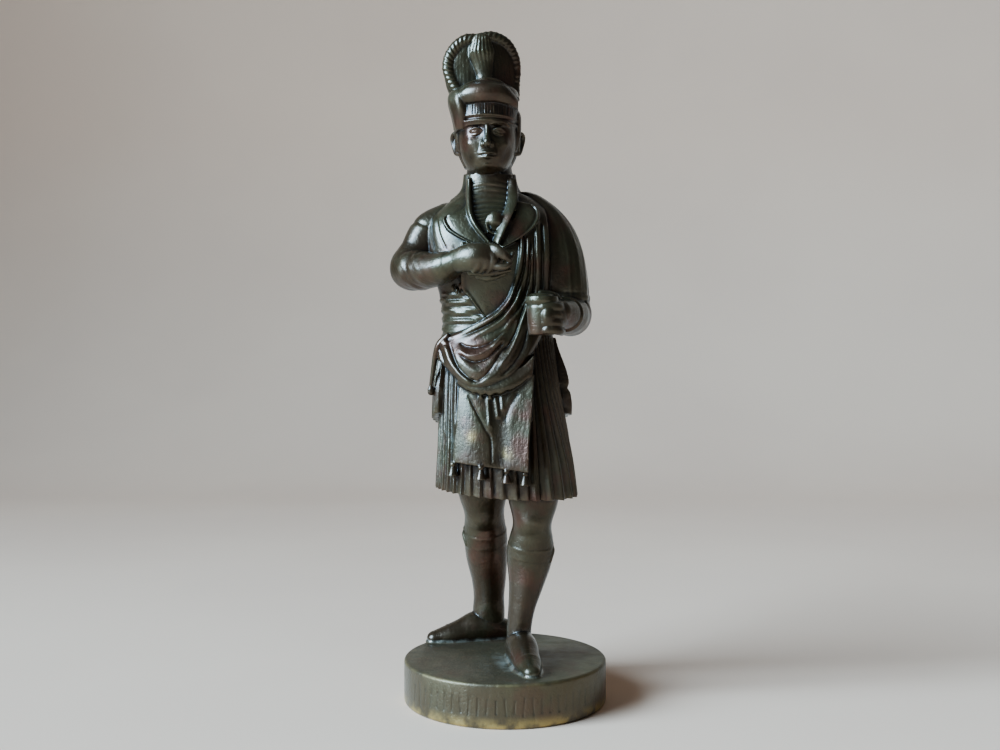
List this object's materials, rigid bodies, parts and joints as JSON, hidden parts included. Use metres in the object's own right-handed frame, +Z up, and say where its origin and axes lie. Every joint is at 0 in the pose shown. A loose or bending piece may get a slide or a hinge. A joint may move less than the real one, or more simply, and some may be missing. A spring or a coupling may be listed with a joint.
{
  "type": "bronze highland soldier figure",
  "caption": "Small cast bronze of a standing highland soldier in kilt, plaid and feather bonnet, on a round base.",
  "frame": {"origin": "centre of the round base's flat underside", "axes": "+Z up through the figure, -Y the way the soldier faces, +X to the soldier's left"},
  "size_m": [0.0482, 0.0452, 0.1495],
  "materials": {
    "bronze": "dark olive-brown patinated bronze with a satin sheen, rubbed to a warmer brown and gold on high edges"
  },
  "bodies": {
    "root": {"highland_soldier": "bronze"}
  },
  "joints": []
}
